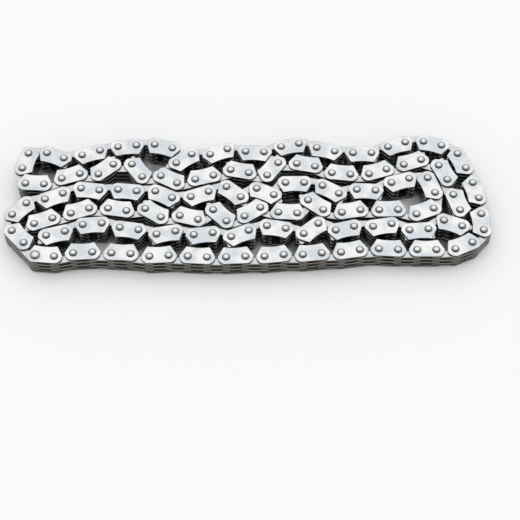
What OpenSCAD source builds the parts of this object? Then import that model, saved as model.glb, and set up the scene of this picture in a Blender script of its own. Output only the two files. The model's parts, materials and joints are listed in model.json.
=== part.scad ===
// Silent chain: an endless inverted-tooth chain, lying on its side in six folded runs.
// Each guide link is two guide plates, two toothed blades and two riveted pins.
// Each inner link is three toothed blades that turn on the pins of the guide links beside it.
// Along X lie the runs, the back run is at +Y, and every pin stands upright along Z.

/* [Chain] */
// Distance from one pin centre to the next
pitch = 6.35; // [6.35:0.05:9.5]
// Thickness of a toothed blade
blade_t = 1; // [0.7:0.05:1.5]
// Thickness of a guide plate
guide_t = 0.6; // [0.4:0.05:1.2]
// Side play between two neighbouring plates of the stack
side_play = 0.04; // [0.02:0.01:0.1]

/* [Plate outline] */
// Gap between two plates of one layer on a straight run
end_gap = 0.85; // [0.85:0.05:1.6]
// Height of the straight back edge behind the pin line
back_h = 2.65; // [2.2:0.05:2.65]
// Depth of the tooth tips in front of the pin line
tooth_h = 3.75; // [3:0.05:3.75]
// Distance from a pin centre square to its tooth flank
flank_offset = 2.5; // [2.2:0.05:2.5]
// Lean of an outer tooth flank from the way the tooth points
flank_angle = 30; // [30:1:32]
// Lean of an inner tooth flank
crotch_angle = 32; // [28:1:34]
// Radius of the crotch between the two teeth of a blade
crotch_r = 1; // [0.6:0.05:1.2]
// Height of the crotch above the pin line
crotch_rise = 0.3; // [0:0.05:0.5]
// Depth of the shallow hollow in a guide plate's front edge
hollow_h = 0.35; // [0.1:0.05:0.8]
// Flat land beside that hollow, at each front corner of a guide plate
hollow_land = 0.4; // [0.2:0.05:1]

/* [Pins] */
// Diameter of a pin's shank
pin_d = 2; // [1.6:0.05:2.2]
// Diameter of a riveted head
head_d = 2.75; // [2.4:0.05:3]
// Diameter of the two heads of the closing pin
closing_head_d = 3.35; // [2.6:0.05:3.6]
// Height of a head over its guide plate
head_h = 0.75; // [0.5:0.05:1]
// Height of the upright rim under a head's dome
head_rim = 0.1; // [0.05:0.05:0.3]
// Diameter of the small flat on top of a head
head_flat_d = 0.9; // [0.6:0.05:1.2]
// Radial clearance of an inner link's blades on a pin
pin_play = 0.03; // [0.02:0.01:0.08]
// Radial clearance of a guide link's own plates on a pin
rivet_play = 0.01; // [0.005:0.005:0.03]

/* [Hidden] */
$fn = 96;
half = pitch / 2;
end_r = (pitch - end_gap) / 2;
pin_r = pin_d / 2;
steel = "#d3d6dc";
blade_steel = "#8b8e93";
pin_steel = "#e2e4e8";
cut_over = 1;

// The lay, chosen by hand: for each run the side its knee bends to, how far the run is moved
// across to make room for its neighbours, and the points that its pins aim at, in pitches.
// Each link starts at the pin before it and points at the next aim, so every link keeps the pitch.
// A run's last two links bend like a knee to meet the next run's first pin.
back_run = [1, 0.1, [
  [-12.2, 1.8], [-11.95, 2.75], [-10.95, 2.8], [-10, 2.45], [-9.05, 2.65], [-8.1, 2.95], [-7.1, 3.2],
  [-6.1, 3.3], [-5.1, 3.35], [-4.1, 3.1], [-3.9, 2.15], [-3.1, 2.7], [-2.1, 2.7], [-1.15, 3.05],
  [-0.2, 2.9], [0.85, 2.85], [1.75, 3.2], [2.7, 3.4], [3.7, 3.15], [4.7, 2.9], [5.65, 2.8],
  [6.65, 2.8], [7.6, 3.2], [8.55, 3.5], [9.55, 3.55], [10.5, 3.3], [11.35, 2.75], [11.75, 1.8],
  [12.05, 0.85], [12.3, -0.1], [12.35, -1.1]
]];
front_run = [1, -0.1, [
  [11.75, -2.65], [10.85, -3.05], [9.9, -3.1], [8.9, -3.1], [7.9, -3.1], [6.9, -3.05], [5.9, -3.1],
  [4.9, -3.25], [3.9, -3.3], [2.9, -3.4], [1.9, -3.4], [0.9, -3.5], [-0.1, -3.5], [-1.1, -3.55],
  [-2.1, -3.55], [-3.1, -3.5], [-4.1, -3.45], [-5.1, -3.5], [-6.1, -3.35], [-7.1, -3.3],
  [-8.1, -3.25], [-9.1, -3.3], [-10.1, -3.5]
]];
third_run = [1, 0.03, [
  [-11.75, -2.8], [-12.45, -2.05], [-12.5, -1.05], [-11.8, -0.35], [-10.8, -0.1], [-9.8, 0.3],
  [-8.9, 0.6], [-7.9, 0.45], [-6.9, 0.5], [-5.9, 0.4], [-4.9, 0.4], [-4, -0.05], [-3, 0.05],
  [-2.05, 0.4], [-1.1, 0.7], [-0.35, 0], [0.5, 0.6], [1.4, 0.15], [2, 0.95], [3, 0.95], [4, 0.75],
  [4.85, 0.25], [5.8, 0.5], [6.8, 0.45], [7.7, 0.95], [8.6, 1.2], [9.6, 1.25]
]];
fourth_run = [-1, 0, [
  [9.85, -0.65], [8.95, -1], [8, -0.75], [7, -0.75], [6.05, -0.75], [5.05, -0.9], [4.05, -0.75],
  [3.2, -0.15], [2.6, -0.95], [1.6, -0.9], [0.65, -0.6], [-0.2, -1.15], [-1.15, -1.45],
  [-1.85, -0.75], [-2.65, -1.35], [-3.65, -1.1], [-4.6, -1.2], [-5.5, -0.65], [-6.45, -0.8],
  [-7.45, -0.65], [-8.4, -0.65], [-9.35, -0.95], [-10.3, -1.25]
]];
fifth_run = [-1, -0.03, [
  [-10.6, -2.3], [-9.65, -2.05], [-8.75, -1.65], [-7.75, -1.55], [-6.8, -1.8], [-5.85, -1.95],
  [-4.9, -2.2], [-3.9, -2.05], [-2.9, -2.25], [-1.95, -2.15], [-1, -2.35], [-0.1, -2.05],
  [0.85, -1.75], [1.85, -1.85], [2.8, -2.15], [3.6, -1.65], [4.55, -1.95], [5.55, -1.75],
  [6.55, -1.75], [7.5, -1.6], [8.45, -1.95], [9.45, -1.9], [10.3, -1.4]
]];
second_run = [1, 0.05, [
  [11.25, -0.8], [10.95, 0.15], [10.7, 1.1], [10.3, 2], [9.35, 2.4], [8.45, 2.1], [7.5, 1.8],
  [6.55, 1.5], [5.55, 1.45], [4.55, 1.55], [3.65, 1.95], [2.65, 2.15], [1.65, 2.2], [1.05, 1.45],
  [0.05, 1.55], [-0.95, 1.75], [-1.85, 1.4], [-2.8, 1.15], [-3.8, 0.9], [-4.7, 1.35], [-5.7, 1.3],
  [-6.3, 2.1], [-7.3, 2.1], [-8.1, 1.45], [-9.1, 1.5], [-10, 1.2], [-10.9, 0.85]
]];
lay = [back_run, front_run, third_run, fourth_run, fifth_run, second_run];
run_names = ["back_run", "front_run", "third_run", "fourth_run", "fifth_run", "second_run"];
last_run = len(lay) - 1;

function last(v) = v[len(v) - 1];
function aims(r) = [for (a = lay[r][2]) pitch * (a + [0, lay[r][1]])];
function first_pin(r) = aims(r % len(lay))[0];
function stepped(p, aim) = p + pitch * (aim - p) / norm(aim - p);
function walked(p, points, i = 1) =
  i == len(points) ? [p] : concat([p], walked(stepped(p, points[i]), points, i + 1));
function knee(p, q, side) =
  let (d = q - p, span = norm(d))
  (p + q) / 2 + side * sqrt(pitch * pitch - span * span / 4) * [-d.y, d.x] / span;
function run_pins(r) =
  let (w = walked(first_pin(r), aims(r)))
  concat(w, [knee(last(w), first_pin(r + 1), lay[r][0])]);

// Every pin of the loop in order, moved so that the lay is centred on the origin
laid_pins = [for (r = [0:last_run]) each run_pins(r)];
laid_x = [for (p = laid_pins) p.x];
laid_y = [for (p = laid_pins) p.y];
centre = [min(laid_x) + max(laid_x), min(laid_y) + max(laid_y)] / 2;
pins = [for (p = laid_pins) p - centre];
pin_count = len(pins);
run_starts = [for (r = 0, s = 0; r <= last_run; s = s + len(lay[r][2]) + 1, r = r + 1) s];
run_ends = [for (r = [0:last_run]) r == last_run ? pin_count - 1 : run_starts[r + 1] - 1];

// The free strand: the left part of the front run, from the bundle out to the closing pin.
// Inner links have odd numbers and guide links even ones.
strand_pairs = 8;
closing_pin_at = run_ends[1];
strand_end = closing_pin_at - 1;
strand_start = strand_end - 2 * strand_pairs + 1;
function in_strand(i) = i >= strand_start && i <= strand_end;
function run_links(r, odd) =
  [for (i = [run_starts[r]:run_ends[r]]) if (i % 2 == odd && !in_strand(i)) i];
function inner_link(k) = strand_start + 2 * (k - 1);
function guide_link(k) = strand_start + 2 * k - 1;

// Heights of the stack from the floor up: guide plate, blades, guide plate
blade_layers = 5;
blade_step = blade_t + side_play;
bottom_guide_z = head_h;
first_blade_z = bottom_guide_z + guide_t + side_play;
top_guide_z = first_blade_z + blade_layers * blade_step;
stack_top = top_guide_z + guide_t;
inner_layers = [0:2:blade_layers - 1];
guide_layers = [1:2:blade_layers - 1];
function blade_z(layer) = first_blade_z + layer * blade_step;

// Corners of the outline: the flanks run from the tooth tips up to the back edge
tip_x = half + (flank_offset - tooth_h * sin(flank_angle)) / cos(flank_angle);
flank_top_x = half + (flank_offset + back_h * sin(flank_angle)) / cos(flank_angle);
// Below this height the flanks alone bound a tooth, above it the round ends do
tooth_root_y = -end_r / 2;
hollow_x = tip_x - hollow_land;
hollow_r = (hollow_x * hollow_x + hollow_h * hollow_h) / (2 * hollow_h);
crotch_y = crotch_rise - crotch_r;
// The crotch lines pass inside the crotch circle, so that they cross it, and start below its top
crotch_line = 0.95 * crotch_r;
crotch_top_y = crotch_y + 0.6 * crotch_r;
function crotch_x(y) = (crotch_line - (y - crotch_y) * sin(crotch_angle)) / cos(crotch_angle);

module flank_wedge() {
  polygon([
    [-tip_x, -tooth_h], [tip_x, -tooth_h],
    [flank_top_x, back_h], [-flank_top_x, back_h]
  ]);
}

// A plate before its holes: round ends about both pins, straight back, two flanks
module blank() {
  intersection() {
    union() {
      for (x = [-half, half]) translate([x, 0]) circle(end_r);
      translate([-half, -tooth_h - cut_over]) square([pitch, tooth_h + cut_over + end_r + cut_over]);
      translate([-pitch, -tooth_h - cut_over]) square([2 * pitch, tooth_h + cut_over + tooth_root_y]);
    }
    flank_wedge();
  }
}

module pin_holes(r) {
  for (x = [-half, half]) translate([x, 0]) circle(r);
}

module crotch() {
  low_y = -tooth_h - cut_over;
  translate([0, crotch_y]) circle(crotch_r);
  polygon([
    [-crotch_x(crotch_top_y), crotch_top_y], [crotch_x(crotch_top_y), crotch_top_y],
    [crotch_x(low_y), low_y], [-crotch_x(low_y), low_y]
  ]);
}

module guide_plate() {
  linear_extrude(guide_t) difference() {
    blank();
    translate([0, hollow_h - tooth_h - hollow_r]) circle(hollow_r);
    pin_holes(pin_r + rivet_play);
  }
}

module blade(hole_r) {
  linear_extrude(blade_t) difference() {
    blank();
    crotch();
    pin_holes(hole_r);
  }
}

// A riveted head, domed with a small flat on top, standing on z = 0
module head(d) {
  r = d / 2;
  flat_r = head_flat_d / 2;
  dome_z = (r * r - flat_r * flat_r + head_rim * head_rim - head_h * head_h) / (2 * (head_rim - head_h));
  dome_r = norm([r, head_rim - dome_z]);
  intersection() {
    cylinder(r = r, h = head_h);
    translate([0, 0, dome_z]) sphere(dome_r);
  }
}

module rivet_pin() {
  translate([0, 0, bottom_guide_z]) cylinder(r = pin_r, h = stack_top - bottom_guide_z);
  translate([0, 0, stack_top]) head(head_d);
  translate([0, 0, bottom_guide_z]) mirror([0, 0, 1]) head(head_d);
}

// One riveted end of the closing pin, which holds in its guide plate alone
module closing_pin_end() {
  cylinder(r = pin_r, h = guide_t);
  translate([0, 0, guide_t]) head(closing_head_d);
}

// Stands its children on link i, with the link's pins along x and its teeth towards -y
module on_link(i) {
  p = pins[i];
  q = pins[(i + 1) % pin_count];
  translate((p + q) / 2) rotate(atan2(q.y - p.y, q.x - p.x)) children();
}

module guide_plates(links) {
  color(steel)
    for (i = links, z = [bottom_guide_z, top_guide_z])
      on_link(i) translate([0, 0, z]) guide_plate();
}

module guide_blades(links) {
  color(blade_steel)
    for (i = links, layer = guide_layers)
      on_link(i) translate([0, 0, blade_z(layer)]) blade(pin_r + rivet_play);
}

module inner_blades(links) {
  color(blade_steel)
    for (i = links, layer = inner_layers)
      on_link(i) translate([0, 0, blade_z(layer)]) blade(pin_r + pin_play);
}

module rivet_pins(links) {
  color(pin_steel)
    for (i = links, n = [i, i + 1])
      if (n != closing_pin_at) translate(pins[n]) rivet_pin();
}

module closing_pin() {
  color(pin_steel) translate(pins[closing_pin_at]) {
    translate([0, 0, top_guide_z]) closing_pin_end();
    translate([0, 0, bottom_guide_z + guide_t]) mirror([0, 0, 1]) closing_pin_end();
  }
}

function guide_name(k, piece) = str("guide_link_", k, "_", piece);
function inner_name(k) = str("inner_link_", k, "_blades");
function run_name(r, piece) = str(run_names[r], "_", piece);

for (r = [0:last_run]) {
  guide_plates(run_links(r, 0));
  guide_blades(run_links(r, 0));
  inner_blades(run_links(r, 1));
  rivet_pins(run_links(r, 0));
}
for (k = [1:strand_pairs]) {
  inner_blades([inner_link(k)]);
  guide_plates([guide_link(k)]);
  guide_blades([guide_link(k)]);
  rivet_pins([guide_link(k)]);
}
closing_pin();
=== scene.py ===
# %% [markdown]
# # A silent chain on a pale table
#
# A silent chain is a stack of toothed steel blades laced on pins. Thin guide plates close the stack
# above and below, and each pin is riveted over them. This one lies on its side, folded into runs,
# so the camera looks down on guide plates and rivet heads, and sees the blades edge on.
# All shapes come from the CAD frame. This script gives them edges, steel, light and a camera.

# %% Load the frame
import json
import math

import bpy
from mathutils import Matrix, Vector

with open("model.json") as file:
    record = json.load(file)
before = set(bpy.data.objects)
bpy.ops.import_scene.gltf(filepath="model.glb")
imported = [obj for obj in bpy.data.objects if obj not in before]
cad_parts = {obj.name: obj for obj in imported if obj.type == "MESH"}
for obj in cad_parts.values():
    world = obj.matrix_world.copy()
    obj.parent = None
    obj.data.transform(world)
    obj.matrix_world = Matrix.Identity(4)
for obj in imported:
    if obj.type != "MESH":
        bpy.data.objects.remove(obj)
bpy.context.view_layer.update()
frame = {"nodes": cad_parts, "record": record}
MM = 0.001

# %% [markdown]
# ## Two small helpers
#
# Colours are written as sRGB hex values, as in any paint program. Blender's shaders count light,
# so each hex value is turned to linear numbers once, here. The other helper adds a shader node,
# sets its inputs and links it, so that a material below reads as a list of steps. An input is given
# by its name, or by its number after an underscore where several inputs share a name.


# %% Colour and node helpers
def linear(hex_colour):
    parts = [int(hex_colour[i : i + 2], 16) / 255 for i in (1, 3, 5)]
    return [c / 12.92 if c <= 0.04045 else ((c + 0.055) / 1.055) ** 2.4 for c in parts] + [1.0]


def add_node(tree, kind, settings=None, **inputs):
    node = tree.nodes.new(kind)
    for name, value in (settings or {}).items():
        setattr(node, name, value)
    for name, value in inputs.items():
        numbered = name[1:].isdigit()
        socket = node.inputs[int(name[1:]) if numbered else name.replace("_", " ")]
        if isinstance(value, bpy.types.NodeSocket):
            tree.links.new(value, socket)
        else:
            socket.default_value = value
    return node


print("mid grey", [round(c, 3) for c in linear("#808080")])

# %% [markdown]
# ## The edges
#
# The plates and blades are punched from strip and then tumbled in a drum with stones, which takes
# the sharpness off every edge. A sharp CAD edge shows no highlight at all. The round could be cut in
# CAD, but on hundreds of solids that is a heavy file, so a Bevel modifier makes it here.
# A Weld modifier comes first, because an imported mesh is split along its edges, and Weighted Normal
# comes last, so that flat faces stay flat. Modifiers leave the CAD mesh alone.
# The round is kept small: a wider one would run into the pin bores and fold the faces there.

# %% Tumbled edges
EDGE_ROUND = 0.05 * MM
WELD_WITHIN = 0.001 * MM
SHARP_FROM = math.radians(38)


def tumble(piece):
    weld = piece.modifiers.new("joined corners", "WELD")
    weld.merge_threshold = WELD_WITHIN
    bevel = piece.modifiers.new("tumbled edge", "BEVEL")
    bevel.width = EDGE_ROUND
    bevel.segments = 2
    bevel.limit_method = "ANGLE"
    bevel.angle_limit = SHARP_FROM
    normals = piece.modifiers.new("flat faces", "WEIGHTED_NORMAL")
    normals.keep_sharp = True


for piece in frame["nodes"].values():
    tumble(piece)
print("rounded edges on", len(frame["nodes"]), "nodes")

# %% [markdown]
# ## What all the steels share
#
# Every piece is carbon steel, so every material is fully metallic and keeps the default IOR.
# A worn edge is wider to the eye than the mesh could be rounded, so the Bevel node bends the normal
# near each edge. A wider Bevel modifier could do it too, if the bores were not so close.
# One function starts a steel with that normal, and one links the finished chains to the shader.

# %% Start and finish of a steel
ROLLED_EDGE = 0.3 * MM
EDGE_SAMPLES = {"samples": 6}
COLOURS = {"data_type": "RGBA"}
NUMBERS = {"data_type": "FLOAT"}


def start_steel(name):
    material = bpy.data.materials.new(name)
    material.use_nodes = True
    tree = material.node_tree
    tree.nodes["Principled BSDF"].inputs["Metallic"].default_value = 1.0
    place = add_node(tree, "ShaderNodeTexCoord").outputs["Object"]
    rounded = add_node(tree, "ShaderNodeBevel", EDGE_SAMPLES, Radius=ROLLED_EDGE).outputs["Normal"]
    return material, tree, place, rounded


def finish_steel(tree, **sockets):
    for name, value in sockets.items():
        tree.links.new(value, tree.nodes["Principled BSDF"].inputs[name.replace("_", " ")])


print("edges look", ROLLED_EDGE / MM, "mm wide")

# %% [markdown]
# ## Level faces and torn edges
#
# A level face is bright from tumbling, while an upright edge was torn by the punch and stays dark.
# The two could be told apart by a material for each face, but the CAD mesh is not to be changed.
# The Z part of the normal tells them apart as well, and the chain only turns about upright pins, so
# that stays true in every pose.

# %% Find the level faces
LEVEL_FROM = 0.6
LEVEL_FULL = 0.96


def level_faces(tree, rounded, steep=LEVEL_FROM, flat=LEVEL_FULL):
    upright = add_node(tree, "ShaderNodeSeparateXYZ", Vector=rounded).outputs["Z"]
    size = add_node(tree, "ShaderNodeMath", {"operation": "ABSOLUTE"}, _0=upright).outputs[0]
    return add_node(tree, "ShaderNodeMapRange", Value=size, From_Min=steep, From_Max=flat).outputs[0]


print("level from", round(math.degrees(math.acos(LEVEL_FROM))), "degrees of tilt")

# %% [markdown]
# ## Scratches
#
# Tumbling stones leave fine scratches in all directions. A brushed look would have one direction,
# and modelled grooves would be far too many, so noise is stretched along three directions and only
# its peaks are kept. The Mapping node is set to Texture, which turns first and stretches after.

# %% Tumbling scratches
SCRATCH_LENGTH = 6 * MM
SCRATCH_WIDTH = 0.2 * MM  # the real ones are about 0.01 mm, too fine to show
SCRATCH_TURNS = (15, 80, 140)
SCRATCH_FROM = 0.62
SCRATCH_FULL = 0.8


def tumbling_scratches(tree, place):
    marks = 0.0
    for turn in SCRATCH_TURNS:
        along = add_node(
            tree,
            "ShaderNodeMapping",
            {"vector_type": "TEXTURE"},
            Vector=place,
            Rotation=(0, 0, math.radians(turn)),
            Scale=(SCRATCH_LENGTH, SCRATCH_WIDTH, SCRATCH_LENGTH),
        ).outputs[0]
        lines = add_node(tree, "ShaderNodeTexNoise", Vector=along, Scale=1.0, Detail=1.0).outputs["Fac"]
        sparse = add_node(
            tree, "ShaderNodeMapRange", Value=lines, From_Min=SCRATCH_FROM, From_Max=SCRATCH_FULL
        ).outputs[0]
        marks = add_node(
            tree, "ShaderNodeMath", {"operation": "MAXIMUM"}, _0=marks, _1=sparse
        ).outputs[0]
    return marks


print("scratches", SCRATCH_LENGTH / MM, "mm long in", len(SCRATCH_TURNS), "directions")

# %% [markdown]
# ## Painted shade in the corners
#
# Shade falls where light hardly reaches: between the plates, under the heads and deep in the gaps,
# and there the colour is darkened as painted shade. Such places could be painted by hand, but the
# Ambient Occlusion node finds them by itself.
# It gives 1 in the open and less where other surfaces are near, and Map Range makes that a share.

# %% Find what is open to the air
AIR_SAMPLES = {"samples": 8}


def open_to_air(tree, reach, shut, free):
    found = add_node(tree, "ShaderNodeAmbientOcclusion", AIR_SAMPLES, Distance=reach).outputs["AO"]
    return add_node(tree, "ShaderNodeMapRange", Value=found, From_Min=shut, From_Max=free).outputs[0]


print("rays for the dirt", AIR_SAMPLES["samples"])

# %% [markdown]
# ## Guide plates
#
# Guide plates are blanked from cold rolled strip and tumbled bright. The eye gets an almost white,
# slightly cloudy mirror with faint cool and warm patches, and a thin dark line around each plate
# where the torn edge shows. A plain flat mirror would look like plastic foil, so clouds a few
# millimetres wide mix a warm and a cool white, scratches cross them, and finer dents change the
# roughness and bend the reflection a little.

# %% Bright tumbled strip
CLOUD = 5 * MM
CLOUD_FROM = 0.38
CLOUD_FULL = 0.62
DENT = 1.2 * MM
DENT_DEPTH = 0.02 * MM
DENT_STRENGTH = 0.12
STRIP_WARM = linear("#efeeec")
STRIP_COOL = linear("#ced5da")
STRIP_SCRATCH = linear("#d6d7d8")
STRIP_EDGE = linear("#3a3835")
STRIP_CORNER_SHADE = linear("#4a4844")
STRIP_CORNER = {"reach": 0.7 * MM, "shut": 0.3, "free": 0.75}
STRIP_ROUGH = {"To_Min": 0.22, "To_Max": 0.34}
STRIP_EDGE_ROUGH = 0.5


def bright_tumbled_strip():
    material, tree, place, rounded = start_steel("cold_rolled_strip_tumbled_bright")
    level = level_faces(tree, rounded)
    clouds = add_node(tree, "ShaderNodeTexNoise", Vector=place, Scale=1 / CLOUD, Detail=2.0).outputs["Fac"]
    dents = add_node(tree, "ShaderNodeTexNoise", Vector=place, Scale=1 / DENT, Detail=3.0).outputs["Fac"]
    marks = tumbling_scratches(tree, place)
    cool = add_node(
        tree, "ShaderNodeMapRange", Value=clouds, From_Min=CLOUD_FROM, From_Max=CLOUD_FULL
    ).outputs[0]
    face = add_node(tree, "ShaderNodeMix", COLOURS, _0=cool, _6=STRIP_WARM, _7=STRIP_COOL).outputs[2]
    scratched = add_node(tree, "ShaderNodeMix", COLOURS, _0=marks, _6=face, _7=STRIP_SCRATCH).outputs[2]
    before_corner_shade = add_node(tree, "ShaderNodeMix", COLOURS, _0=level, _6=STRIP_EDGE, _7=scratched).outputs[2]
    # Painted shade: the colour darkens where other steel stands close, in corners and around the heads.
    air = open_to_air(tree, **STRIP_CORNER)
    colour = add_node(tree, "ShaderNodeMix", COLOURS, _0=air, _6=STRIP_CORNER_SHADE, _7=before_corner_shade).outputs[2]
    polish = add_node(tree, "ShaderNodeMapRange", Value=dents, **STRIP_ROUGH).outputs[0]
    rough = add_node(
        tree, "ShaderNodeMix", NUMBERS, _0=level, _2=STRIP_EDGE_ROUGH, _3=polish
    ).outputs[0]
    relief = add_node(
        tree, "ShaderNodeBump", Height=dents, Normal=rounded, Strength=DENT_STRENGTH, Distance=DENT_DEPTH
    ).outputs[0]
    finish_steel(tree, Base_Color=colour, Roughness=rough, Normal=relief)
    return material


steels = {"guide_plate_steel": bright_tumbled_strip()}
print("guide plates", steels["guide_plate_steel"].name)

# %% [markdown]
# ## Blades
#
# The toothed blades are punched from thicker strip, hardened, and tumbled. Their faces are nearly
# as bright as the guide plates, but mostly edges show. A punched edge has two bands: where the
# punch went in the steel is sheared and burnished, and below that it broke away rough and dark.
# The bands could be modelled as steps, but they are only a change of finish, so they are coloured.
# The blades lie in even layers, so the height in the stack, counted in layers, gives the place in
# the band: its fraction runs from 0 under a blade to 1 on top of it. The eye gets a stack of thin
# light and dark lines.

# %% Hardened blades with punched edges
LAYER = 1.04 * MM
FIRST_BLADE = 1.39 * MM
GRAIN = 0.2 * MM
GRAIN_DEPTH = 0.03 * MM
GRAIN_STRENGTH = 0.25
RAGGED = 0.3
BURNISHED_FROM = 0.72
BURNISHED_FULL = 0.84
EDGE_TORN = linear("#47433d")
EDGE_BURNISHED = linear("#928f86")
BLADE_FACE = linear("#d6d7d8")
BLADE_SCRATCH = linear("#bcbdbf")
BLADE_CORNER_SHADE = linear("#68645c")
BLADE_CORNER = {"reach": 2.5 * MM, "shut": 0.1, "free": 0.65}
BLADE_ROUGH = {"To_Min": 0.24, "To_Max": 0.4}
BLADE_EDGE_ROUGH = {"To_Min": 0.55, "To_Max": 0.34}


def hardened_punched_blade():
    material, tree, place, rounded = start_steel("hardened_carbon_steel_punched_and_tumbled")
    level = level_faces(tree, rounded)
    height = add_node(tree, "ShaderNodeSeparateXYZ", Vector=place).outputs["Z"]
    layers = add_node(
        tree,
        "ShaderNodeMapRange",
        {"clamp": False},
        Value=height,
        From_Min=FIRST_BLADE,
        From_Max=FIRST_BLADE + LAYER,
    ).outputs[0]
    grain = add_node(tree, "ShaderNodeTexNoise", Vector=place, Scale=1 / GRAIN, Detail=4.0).outputs["Fac"]
    in_blade = add_node(tree, "ShaderNodeMath", {"operation": "FRACT"}, _0=layers).outputs[0]
    ragged = add_node(
        tree, "ShaderNodeMath", {"operation": "MULTIPLY_ADD"}, _0=grain, _1=RAGGED, _2=in_blade
    ).outputs[0]
    burnished = add_node(
        tree, "ShaderNodeMapRange", Value=ragged, From_Min=BURNISHED_FROM, From_Max=BURNISHED_FULL
    ).outputs[0]
    edge = add_node(tree, "ShaderNodeMix", COLOURS, _0=burnished, _6=EDGE_TORN, _7=EDGE_BURNISHED).outputs[2]
    marks = tumbling_scratches(tree, place)
    face = add_node(tree, "ShaderNodeMix", COLOURS, _0=marks, _6=BLADE_FACE, _7=BLADE_SCRATCH).outputs[2]
    before_corner_shade = add_node(tree, "ShaderNodeMix", COLOURS, _0=level, _6=edge, _7=face).outputs[2]
    # Painted shade: the colour darkens where other steel stands close, in the gaps and along the plates.
    air = open_to_air(tree, **BLADE_CORNER)
    colour = add_node(tree, "ShaderNodeMix", COLOURS, _0=air, _6=BLADE_CORNER_SHADE, _7=before_corner_shade).outputs[2]
    torn = add_node(tree, "ShaderNodeMapRange", Value=burnished, **BLADE_EDGE_ROUGH).outputs[0]
    polish = add_node(tree, "ShaderNodeMapRange", Value=grain, **BLADE_ROUGH).outputs[0]
    rough = add_node(tree, "ShaderNodeMix", NUMBERS, _0=level, _2=torn, _3=polish).outputs[0]
    relief = add_node(
        tree, "ShaderNodeBump", Height=grain, Normal=rounded, Strength=GRAIN_STRENGTH, Distance=GRAIN_DEPTH
    ).outputs[0]
    finish_steel(tree, Base_Color=colour, Roughness=rough, Normal=relief)
    return material


steels["blade_steel"] = hardened_punched_blade()
print("blades", steels["blade_steel"].name)

# %% [markdown]
# ## Pins
#
# The pins are hardened bearing steel, ground smooth, and their soft ends are spun into domed heads
# over the guide plates. The crown has a slight orange peel. The eye gets a white spot in a dark ring,
# and both are painted: the level crown is coloured near white as a painted highlight, and the steep
# skirt near black as painted shade. A dark room alone could give that ring, but from behind all the
# steel would then look black, so the skirt has its own darker colour. Painted shade also darkens
# the corner between head and plate.

# %% Spun rivet heads
PEEL = 0.25 * MM
PEEL_DEPTH = 0.02 * MM
PEEL_STRENGTH = 0.1
CROWN_FROM = 0.62
CROWN_FULL = 0.985
HEAD_CROWN_HIGHLIGHT = linear("#f2f1ef")
HEAD_PEEL = linear("#dfe0e3")
HEAD_SKIRT_SHADE = linear("#292826")
HEAD_CORNER_SHADE = linear("#262422")
HEAD_CORNER = {"reach": 0.9 * MM, "shut": 0.4, "free": 0.9}
HEAD_ROUGH = {"To_Min": 0.14, "To_Max": 0.3}


def spun_bearing_steel():
    material, tree, place, rounded = start_steel("bearing_steel_ground_and_spun")
    peel = add_node(tree, "ShaderNodeTexNoise", Vector=place, Scale=1 / PEEL, Detail=2.0).outputs["Fac"]
    # Painted highlight and painted shade: the level crown is coloured near white, the steep skirt near
    # black.
    bright = add_node(tree, "ShaderNodeMix", COLOURS, _0=peel, _6=HEAD_CROWN_HIGHLIGHT, _7=HEAD_PEEL).outputs[2]
    crown = level_faces(tree, rounded, CROWN_FROM, CROWN_FULL)
    before_corner_shade = add_node(tree, "ShaderNodeMix", COLOURS, _0=crown, _6=HEAD_SKIRT_SHADE, _7=bright).outputs[2]
    # Painted shade: the colour darkens in the corner between head and plate.
    air = open_to_air(tree, **HEAD_CORNER)
    colour = add_node(tree, "ShaderNodeMix", COLOURS, _0=air, _6=HEAD_CORNER_SHADE, _7=before_corner_shade).outputs[2]
    polish = add_node(tree, "ShaderNodeMapRange", Value=peel, **HEAD_ROUGH).outputs[0]
    relief = add_node(
        tree, "ShaderNodeBump", Height=peel, Strength=PEEL_STRENGTH, Distance=PEEL_DEPTH
    ).outputs[0]
    finish_steel(tree, Base_Color=colour, Roughness=polish, Normal=relief)
    return material


steels["pin_steel"] = spun_bearing_steel()
print("pins", steels["pin_steel"].name)

# %% [markdown]
# ## Dressing the chain
#
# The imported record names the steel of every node, so a loop hands the materials out. Doing that by
# hand would take a line for each of the nodes, and a new node could be forgotten.

# %% Give each node its steel
slot_of = {part["node"]: part["material_slot"] for part in frame["record"]["subparts"]}
for name, piece in frame["nodes"].items():
    piece.data.materials.clear()
    piece.data.materials.append(steels[slot_of[name]])
print("dressed", len(frame["nodes"]), "nodes in", len(steels), "steels")

# %% [markdown]
# ## Table
#
# The chain lies on a sheet of matt white paper, which shows white with a soft grey shadow in front.
# More light would burn out the steel, so the white is put into the paper: seen by the camera, in a
# reflection or through glass, it glows a little. The glow fades where the chain stands close, and
# there the paper's colour darkens towards grey as well: a painted shadow, which deepens the shadow in
# front and the dark gaps between the runs.

# %% A sheet of paper
PAPER_HALF = 3.0
corners = [(x * PAPER_HALF, y * PAPER_HALF, 0) for x, y in ((-1, -1), (1, -1), (1, 1), (-1, 1))]
sheet = bpy.data.meshes.new("paper")
sheet.from_pydata(corners, [], [(0, 1, 2, 3)])
paper = bpy.data.objects.new("paper", sheet)
bpy.context.scene.collection.objects.link(paper)
print("paper", 2 * PAPER_HALF, "m wide")

# %% Matt white paper
PAPER_GLOW = 0.24
PAPER_ROUGH = 0.9
PAPER_WHITE = linear("#f4f4f3")
PAPER_SHADE = linear("#45443f")
SHADOW_REACH = 9 * MM
SHADE_FULL = 0.1
SHADE_END = 0.5
GLOW_NONE = 0.2
GLOW_WHOLE = 0.7

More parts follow.
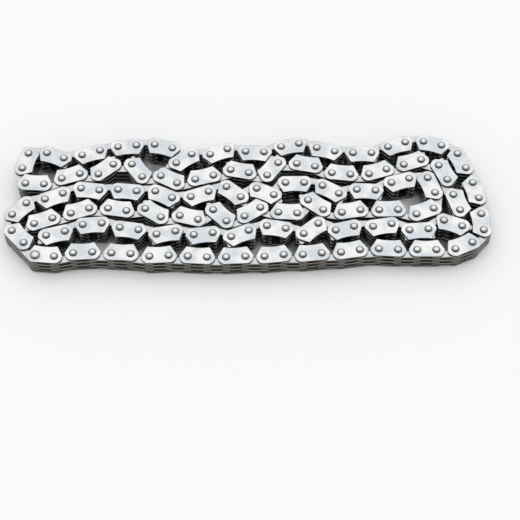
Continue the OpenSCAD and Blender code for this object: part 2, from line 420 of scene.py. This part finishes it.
matt = bpy.data.materials.new("matt_white_paper")
matt.use_nodes = True
tree = matt.node_tree
shader = tree.nodes["Principled BSDF"]
shader.inputs["Roughness"].default_value = PAPER_ROUGH
shader.inputs["Emission Color"].default_value = linear("#ffffff")
air = add_node(tree, "ShaderNodeAmbientOcclusion", AIR_SAMPLES, Distance=SHADOW_REACH).outputs["AO"]
light = add_node(
    tree, "ShaderNodeMapRange", Value=air, From_Min=SHADE_FULL, From_Max=SHADE_END
).outputs[0]
# Painted shadow: near the chain the paper's colour darkens towards a dark grey.
tone = add_node(tree, "ShaderNodeMix", COLOURS, _0=light, _6=PAPER_SHADE, _7=PAPER_WHITE).outputs[2]
path = add_node(tree, "ShaderNodeLightPath").outputs
seen = path["Is Camera Ray"]
for ray in ("Is Glossy Ray", "Is Transmission Ray"):
    seen = add_node(tree, "ShaderNodeMath", {"operation": "MAXIMUM"}, _0=seen, _1=path[ray]).outputs[0]
bare = add_node(
    tree, "ShaderNodeMapRange", Value=air, From_Min=GLOW_NONE, From_Max=GLOW_WHOLE, To_Max=PAPER_GLOW
).outputs[0]
glow = add_node(tree, "ShaderNodeMath", {"operation": "MULTIPLY"}, _0=seen, _1=bare).outputs[0]
tree.links.new(tone, shader.inputs["Base Color"])
tree.links.new(glow, shader.inputs["Emission Strength"])
paper.data.materials.append(matt)
print("paper is", matt.name)

# %% [markdown]
# ## Light
#
# The light is that of a product table. A wide softbox hangs behind and above the chain and makes the
# shadow fall to the front. A lamp alone would leave black reflections, and metal is all reflection,
# so the room counts for more: a round glow behind and above, which the level faces mirror towards
# the camera, a dim zone high up on the camera's side, and pale low walls all round, so that the
# steel reads from the back and from the ends too.
# A lamp lets the room shine through it in a reflection, so both together stay just under white.

# %% Softbox
SOFTBOX = (1.4, 1.0)
SOFTBOX_POWER = 0.7
SOFTBOX_PLACE = (0.0, 0.4, 0.85)
box_light = bpy.data.lights.new("softbox", "AREA")
box_light.shape = "RECTANGLE"
box_light.size, box_light.size_y = SOFTBOX
box_light.energy = SOFTBOX_POWER
softbox = bpy.data.objects.new("softbox", box_light)
softbox.location = SOFTBOX_PLACE
softbox.rotation_euler = (-softbox.location).to_track_quat("-Z", "Y").to_euler()
bpy.context.scene.collection.objects.link(softbox)
print("softbox", SOFTBOX, "m")

# %% Room
LOOK_DOWN = math.radians(60)
GLOW_MIDDLE = (0, math.cos(LOOK_DOWN), math.sin(LOOK_DOWN))
GLOW_FULL = math.radians(42)
GLOW_END = math.radians(74)
WALL_TOP = math.radians(48)
WALL_FULL = math.radians(28)
WALL_SHARE = 0.75
ROOM_DIM = linear("#262628")
ROOM_PALE = linear("#f8f8f9")
studio = bpy.data.worlds.new("studio")
studio.use_nodes = True
bpy.context.scene.world = studio
room = studio.node_tree
towards = add_node(room, "ShaderNodeTexCoord").outputs["Generated"]
to_glow = add_node(
    room, "ShaderNodeVectorMath", {"operation": "DOT_PRODUCT"}, _0=towards, _1=GLOW_MIDDLE
).outputs["Value"]
behind = add_node(
    room,
    "ShaderNodeMapRange",
    {"interpolation_type": "SMOOTHSTEP"},
    Value=to_glow,
    From_Min=math.cos(GLOW_END),
    From_Max=math.cos(GLOW_FULL),
).outputs[0]
rise = add_node(room, "ShaderNodeSeparateXYZ", Vector=towards).outputs["Z"]
low = add_node(
    room,
    "ShaderNodeMapRange",
    Value=rise,
    From_Min=math.sin(WALL_TOP),
    From_Max=math.sin(WALL_FULL),
    To_Max=WALL_SHARE,
).outputs[0]
lit = add_node(room, "ShaderNodeMath", {"operation": "MAXIMUM"}, _0=behind, _1=low).outputs[0]
walls = add_node(room, "ShaderNodeMix", COLOURS, _0=lit, _6=ROOM_DIM, _7=ROOM_PALE).outputs[2]
room.links.new(walls, room.nodes["Background"].inputs["Color"])
print("glow to", round(math.degrees(GLOW_END)), "degrees, walls to", round(math.degrees(WALL_TOP)))

# %% [markdown]
# ## Camera
#
# The photograph looks down at 60 degrees from straight in front, from about half a metre away,
# with a long lens. The point in the middle of the picture lies on the plate tops, in front of the
# chain, because the chain sits in the upper half of the picture. A shifted lens could frame it too,
# but aiming the camera lower keeps the shift at zero for all other views.

# %% Camera
LOOK_AT = Vector((4.3, -24.3, 7.19)) * MM
DISTANCE = 470 * MM
SENSOR = 36
LENS = 98.6
eye = bpy.data.cameras.new("camera")
eye.sensor_width = SENSOR
eye.lens = LENS
camera = bpy.data.objects.new("camera", eye)
camera.location = LOOK_AT + DISTANCE * Vector((0, -math.cos(LOOK_DOWN), math.sin(LOOK_DOWN)))
camera.rotation_euler = (LOOK_AT - camera.location).to_track_quat("-Z", "Y").to_euler()
bpy.context.scene.collection.objects.link(camera)
bpy.context.scene.camera = camera
bpy.context.scene.view_settings.view_transform = "Standard"
print("camera at", [round(c, 3) for c in camera.location])
